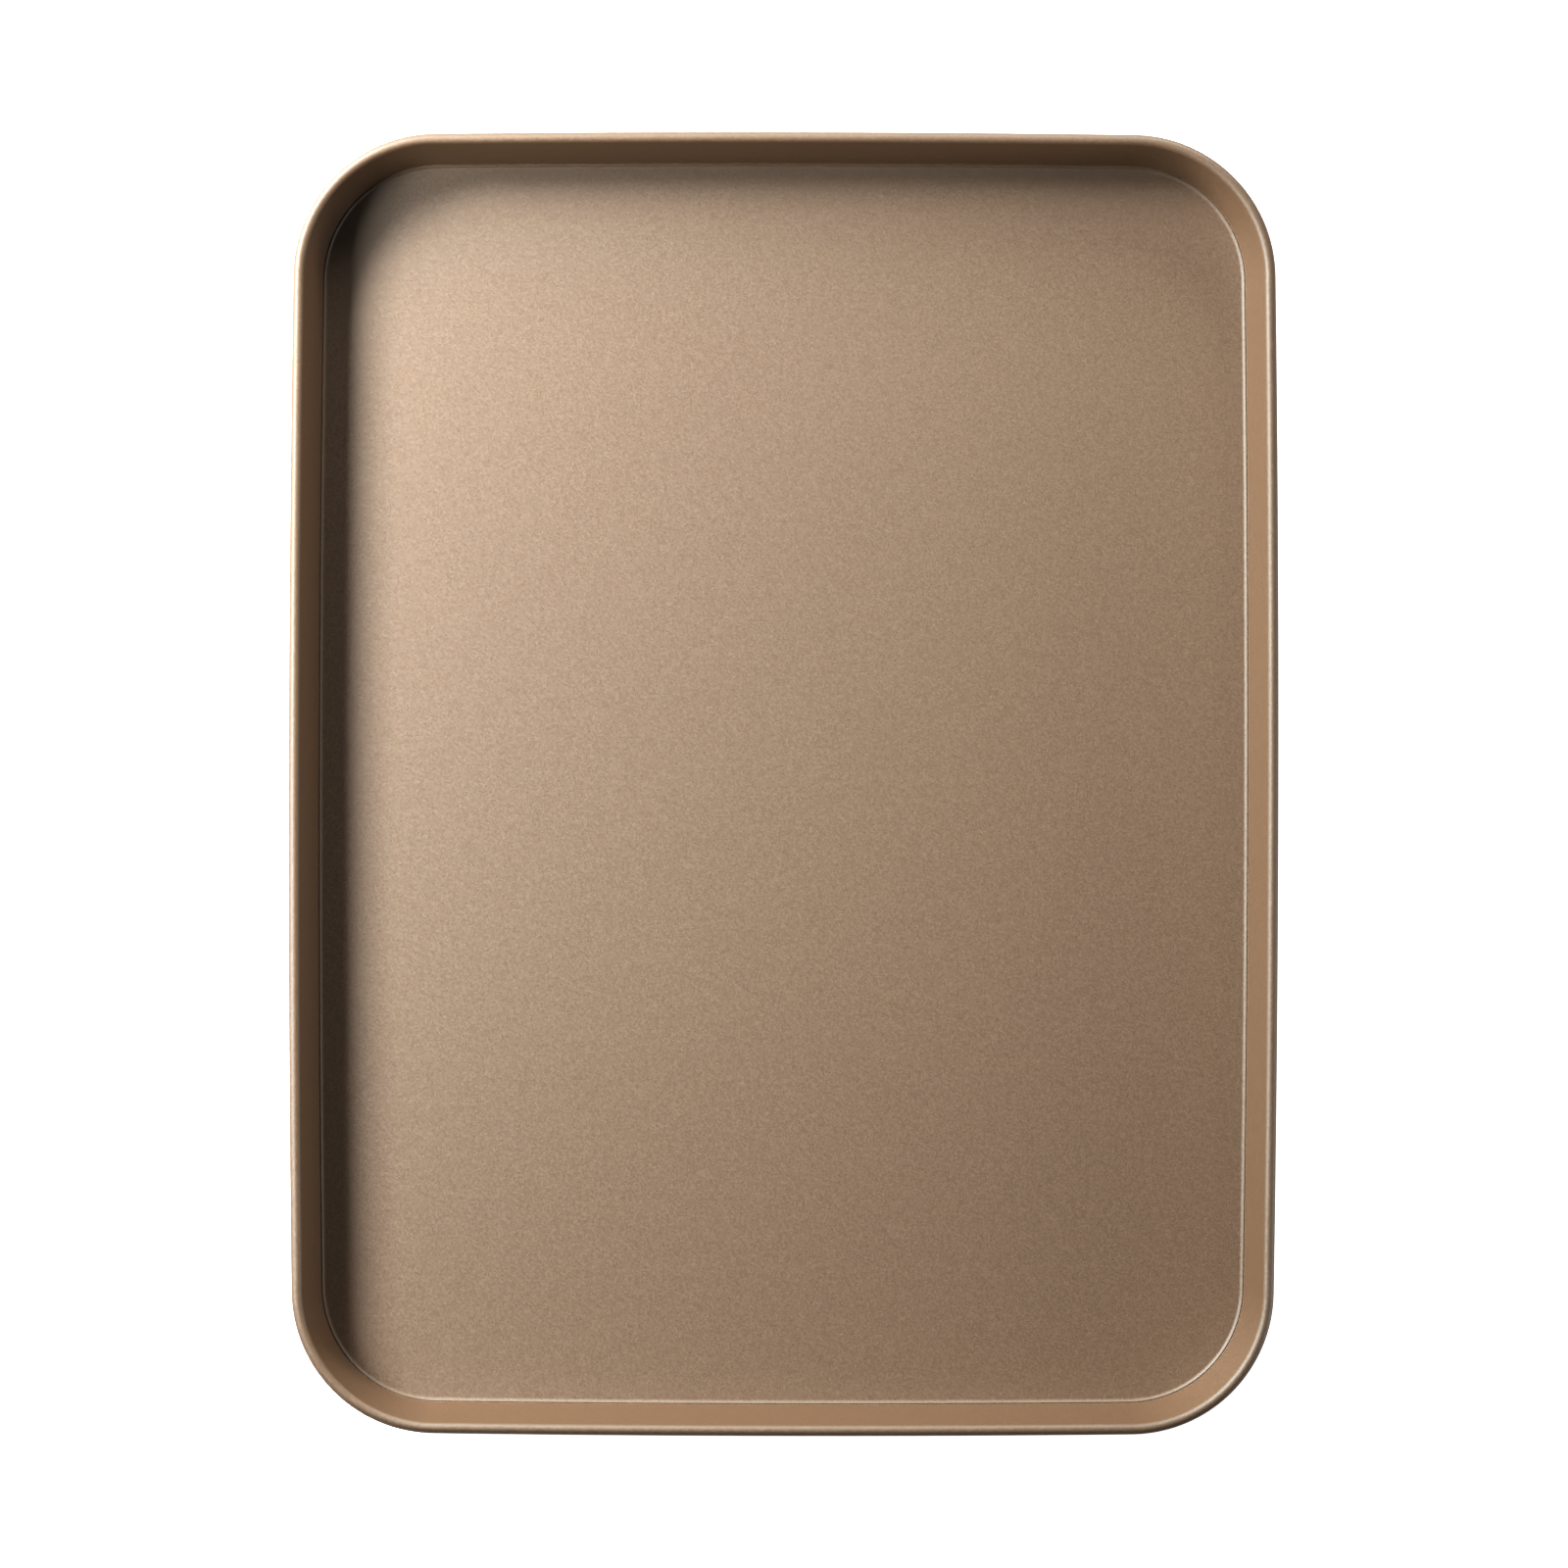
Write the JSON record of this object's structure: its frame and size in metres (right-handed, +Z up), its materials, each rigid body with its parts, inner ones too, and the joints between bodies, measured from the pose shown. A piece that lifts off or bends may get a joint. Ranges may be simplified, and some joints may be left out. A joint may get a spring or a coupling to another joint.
{
  "type": "baking pan",
  "caption": "Shallow rectangular baking pan pressed from one coated steel sheet, with round corners, leaning walls and a rim curled round a wire, for baking and roasting in an oven.",
  "frame": {"origin": "middle of the underside, on the surface that the pan stands on", "axes": "+Z up out of the pan, +Y along its length, +X across its width"},
  "size_m": [0.29, 0.382, 0.022],
  "materials": {
    "champagne_coat": "satin champagne-bronze non-stick coating with fine metallic flake, on carbon steel",
    "wire_steel": "drawn steel wire, zinc plated"
  },
  "bodies": {
    "root": {"pan_body": "champagne_coat", "rim_wire": "wire_steel"}
  },
  "joints": []
}
